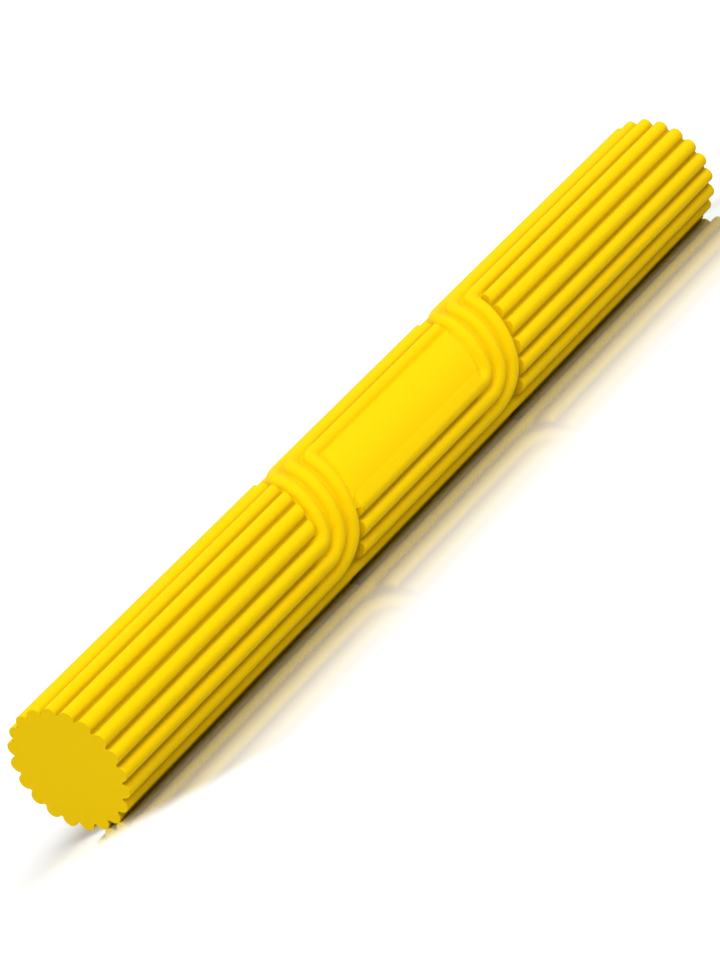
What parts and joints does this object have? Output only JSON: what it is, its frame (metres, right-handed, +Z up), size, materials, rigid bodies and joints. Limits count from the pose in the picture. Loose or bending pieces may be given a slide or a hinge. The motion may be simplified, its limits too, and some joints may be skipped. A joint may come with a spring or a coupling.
{
  "type": "flexible resistance bar",
  "caption": "Solid rubber bar with ribs along its length that sweep across it on both sides of a plain panel; it bends into a U and twists, and springs back straight.",
  "frame": {"origin": "middle of the bar's length and width, on the surface that it rests on", "axes": "+X along the bar towards the end that is farther away in the picture, +Z up, and -Y the side that the picture shows"},
  "size_m": [0.305, 0.0352, 0.0351],
  "materials": {
    "yellow_rubber": "satin"
  },
  "bodies": {
    "panel_middle": {"panel_middle": "yellow_rubber"},
    "right_panel_1": {"right_panel_1": "yellow_rubber"},
    "right_panel_2": {"right_panel_2": "yellow_rubber"},
    "right_sweep_1": {"right_sweep_1": "yellow_rubber"},
    "right_sweep_2": {"right_sweep_2": "yellow_rubber"},
    "right_sweep_3": {"right_sweep_3": "yellow_rubber"},
    "right_grip_1": {"right_grip_1": "yellow_rubber"},
    "right_grip_2": {"right_grip_2": "yellow_rubber"},
    "right_grip_3": {"right_grip_3": "yellow_rubber"},
    "right_grip_4": {"right_grip_4": "yellow_rubber"},
    "right_grip_5": {"right_grip_5": "yellow_rubber"},
    "right_grip_6": {"right_grip_6": "yellow_rubber"},
    "right_grip_end": {"right_grip_end": "yellow_rubber"},
    "left_panel_1": {"left_panel_1": "yellow_rubber"},
    "left_panel_2": {"left_panel_2": "yellow_rubber"},
    "left_sweep_1": {"left_sweep_1": "yellow_rubber"},
    "left_sweep_2": {"left_sweep_2": "yellow_rubber"},
    "left_sweep_3": {"left_sweep_3": "yellow_rubber"},
    "left_grip_1": {"left_grip_1": "yellow_rubber"},
    "left_grip_2": {"left_grip_2": "yellow_rubber"},
    "left_grip_3": {"left_grip_3": "yellow_rubber"},
    "left_grip_4": {"left_grip_4": "yellow_rubber"},
    "left_grip_5": {"left_grip_5": "yellow_rubber"},
    "left_grip_6": {"left_grip_6": "yellow_rubber"},
    "left_grip_end": {"left_grip_end": "yellow_rubber"}
  },
  "joints": [
    {"name": "right_bend_1", "type": "hinge", "parent": "panel_middle", "child": "right_panel_1", "pos_m": [0.0052, 0, 0.01743], "axis": [0, 1, 0], "range_deg": [-11.25, 11.25], "stiffness_Nm_per_rad": 12.7, "deforming": ["right_panel_1"]},
    {"name": "right_twist_1", "type": "hinge", "parent": "right_panel_1", "child": "right_panel_2", "pos_m": [0.0156, 0, 0.01743], "axis": [1, 0, 0], "range_deg": [-15, 15], "stiffness_Nm_per_rad": 4.2},
    {"name": "right_bend_2", "type": "hinge", "parent": "right_panel_2", "child": "right_sweep_1", "pos_m": [0.026, 0, 0.01743], "axis": [0, 1, 0], "range_deg": [-11.25, 11.25], "stiffness_Nm_per_rad": 12.7, "deforming": ["right_sweep_1"]},
    {"name": "right_bend_3", "type": "hinge", "parent": "right_sweep_1", "child": "right_sweep_2", "pos_m": [0.0364, 0, 0.01743], "axis": [0, 1, 0], "range_deg": [-11.25, 11.25], "stiffness_Nm_per_rad": 12.7},
    {"name": "right_twist_2", "type": "hinge", "parent": "right_sweep_2", "child": "right_sweep_3", "pos_m": [0.0468, 0, 0.01743], "axis": [1, 0, 0], "range_deg": [-15, 15], "stiffness_Nm_per_rad": 4.2, "deforming": ["right_sweep_3"]},
    {"name": "right_bend_4", "type": "hinge", "parent": "right_sweep_3", "child": "right_grip_1", "pos_m": [0.0572, 0, 0.01743], "axis": [0, 1, 0], "range_deg": [-11.25, 11.25], "stiffness_Nm_per_rad": 12.7},
    {"name": "right_bend_5", "type": "hinge", "parent": "right_grip_1", "child": "right_grip_2", "pos_m": [0.0676, 0, 0.01743], "axis": [0, 1, 0], "range_deg": [-11.25, 11.25], "stiffness_Nm_per_rad": 12.7, "deforming": ["right_grip_2"]},
    {"name": "right_twist_3", "type": "hinge", "parent": "right_grip_2", "child": "right_grip_3", "pos_m": [0.078, 0, 0.01743], "axis": [1, 0, 0], "range_deg": [-15, 15], "stiffness_Nm_per_rad": 4.2},
    {"name": "right_bend_6", "type": "hinge", "parent": "right_grip_3", "child": "right_grip_4", "pos_m": [0.0884, 0, 0.01743], "axis": [0, 1, 0], "range_deg": [-11.25, 11.25], "stiffness_Nm_per_rad": 12.7, "deforming": ["right_grip_4"]},
    {"name": "right_bend_7", "type": "hinge", "parent": "right_grip_4", "child": "right_grip_5", "pos_m": [0.0988, 0, 0.01743], "axis": [0, 1, 0], "range_deg": [-11.25, 11.25], "stiffness_Nm_per_rad": 12.7},
    {"name": "right_twist_4", "type": "hinge", "parent": "right_grip_5", "child": "right_grip_6", "pos_m": [0.1092, 0, 0.01743], "axis": [1, 0, 0], "range_deg": [-15, 15], "stiffness_Nm_per_rad": 4.2, "deforming": ["right_grip_6"]},
    {"name": "right_bend_8", "type": "hinge", "parent": "right_grip_6", "child": "right_grip_end", "pos_m": [0.1196, 0, 0.01743], "axis": [0, 1, 0], "range_deg": [-11.25, 11.25], "stiffness_Nm_per_rad": 12.7},
    {"name": "left_bend_1", "type": "hinge", "parent": "panel_middle", "child": "left_panel_1", "pos_m": [-0.0052, 0, 0.01743], "axis": [0, 1, 0], "range_deg": [-11.25, 11.25], "stiffness_Nm_per_rad": 12.7, "deforming": ["left_panel_1"]},
    {"name": "left_twist_1", "type": "hinge", "parent": "left_panel_1", "child": "left_panel_2", "pos_m": [-0.0156, 0, 0.01743], "axis": [1, 0, 0], "range_deg": [-15, 15], "stiffness_Nm_per_rad": 4.2},
    {"name": "left_bend_2", "type": "hinge", "parent": "left_panel_2", "child": "left_sweep_1", "pos_m": [-0.026, 0, 0.01743], "axis": [0, 1, 0], "range_deg": [-11.25, 11.25], "stiffness_Nm_per_rad": 12.7, "deforming": ["left_sweep_1"]},
    {"name": "left_bend_3", "type": "hinge", "parent": "left_sweep_1", "child": "left_sweep_2", "pos_m": [-0.0364, 0, 0.01743], "axis": [0, 1, 0], "range_deg": [-11.25, 11.25], "stiffness_Nm_per_rad": 12.7},
    {"name": "left_twist_2", "type": "hinge", "parent": "left_sweep_2", "child": "left_sweep_3", "pos_m": [-0.0468, 0, 0.01743], "axis": [1, 0, 0], "range_deg": [-15, 15], "stiffness_Nm_per_rad": 4.2, "deforming": ["left_sweep_3"]},
    {"name": "left_bend_4", "type": "hinge", "parent": "left_sweep_3", "child": "left_grip_1", "pos_m": [-0.0572, 0, 0.01743], "axis": [0, 1, 0], "range_deg": [-11.25, 11.25], "stiffness_Nm_per_rad": 12.7},
    {"name": "left_bend_5", "type": "hinge", "parent": "left_grip_1", "child": "left_grip_2", "pos_m": [-0.0676, 0, 0.01743], "axis": [0, 1, 0], "range_deg": [-11.25, 11.25], "stiffness_Nm_per_rad": 12.7, "deforming": ["left_grip_2"]},
    {"name": "left_twist_3", "type": "hinge", "parent": "left_grip_2", "child": "left_grip_3", "pos_m": [-0.078, 0, 0.01743], "axis": [1, 0, 0], "range_deg": [-15, 15], "stiffness_Nm_per_rad": 4.2},
    {"name": "left_bend_6", "type": "hinge", "parent": "left_grip_3", "child": "left_grip_4", "pos_m": [-0.0884, 0, 0.01743], "axis": [0, 1, 0], "range_deg": [-11.25, 11.25], "stiffness_Nm_per_rad": 12.7, "deforming": ["left_grip_4"]},
    {"name": "left_bend_7", "type": "hinge", "parent": "left_grip_4", "child": "left_grip_5", "pos_m": [-0.0988, 0, 0.01743], "axis": [0, 1, 0], "range_deg": [-11.25, 11.25], "stiffness_Nm_per_rad": 12.7},
    {"name": "left_twist_4", "type": "hinge", "parent": "left_grip_5", "child": "left_grip_6", "pos_m": [-0.1092, 0, 0.01743], "axis": [1, 0, 0], "range_deg": [-15, 15], "stiffness_Nm_per_rad": 4.2, "deforming": ["left_grip_6"]},
    {"name": "left_bend_8", "type": "hinge", "parent": "left_grip_6", "child": "left_grip_end", "pos_m": [-0.1196, 0, 0.01743], "axis": [0, 1, 0], "range_deg": [-11.25, 11.25], "stiffness_Nm_per_rad": 12.7}
  ],
  "couplings": [
    {"joint": "right_bend_2", "follows": "right_bend_1", "ratio": 1},
    {"joint": "right_bend_3", "follows": "right_bend_1", "ratio": 1},
    {"joint": "right_twist_2", "follows": "right_twist_1", "ratio": 1},
    {"joint": "right_bend_4", "follows": "right_bend_1", "ratio": 1},
    {"joint": "right_bend_5", "follows": "right_bend_1", "ratio": 1},
    {"joint": "right_twist_3", "follows": "right_twist_1", "ratio": 1},
    {"joint": "right_bend_6", "follows": "right_bend_1", "ratio": 1},
    {"joint": "right_bend_7", "follows": "right_bend_1", "ratio": 1},
    {"joint": "right_twist_4", "follows": "right_twist_1", "ratio": 1},
    {"joint": "right_bend_8", "follows": "right_bend_1", "ratio": 1},
    {"joint": "left_bend_1", "follows": "right_bend_1", "ratio": -1},
    {"joint": "left_twist_1", "follows": "right_twist_1", "ratio": -1},
    {"joint": "left_bend_2", "follows": "right_bend_1", "ratio": -1},
    {"joint": "left_bend_3", "follows": "right_bend_1", "ratio": -1},
    {"joint": "left_twist_2", "follows": "right_twist_1", "ratio": -1},
    {"joint": "left_bend_4", "follows": "right_bend_1", "ratio": -1},
    {"joint": "left_bend_5", "follows": "right_bend_1", "ratio": -1},
    {"joint": "left_twist_3", "follows": "right_twist_1", "ratio": -1},
    {"joint": "left_bend_6", "follows": "right_bend_1", "ratio": -1},
    {"joint": "left_bend_7", "follows": "right_bend_1", "ratio": -1},
    {"joint": "left_twist_4", "follows": "right_twist_1", "ratio": -1},
    {"joint": "left_bend_8", "follows": "right_bend_1", "ratio": -1}
  ]
}
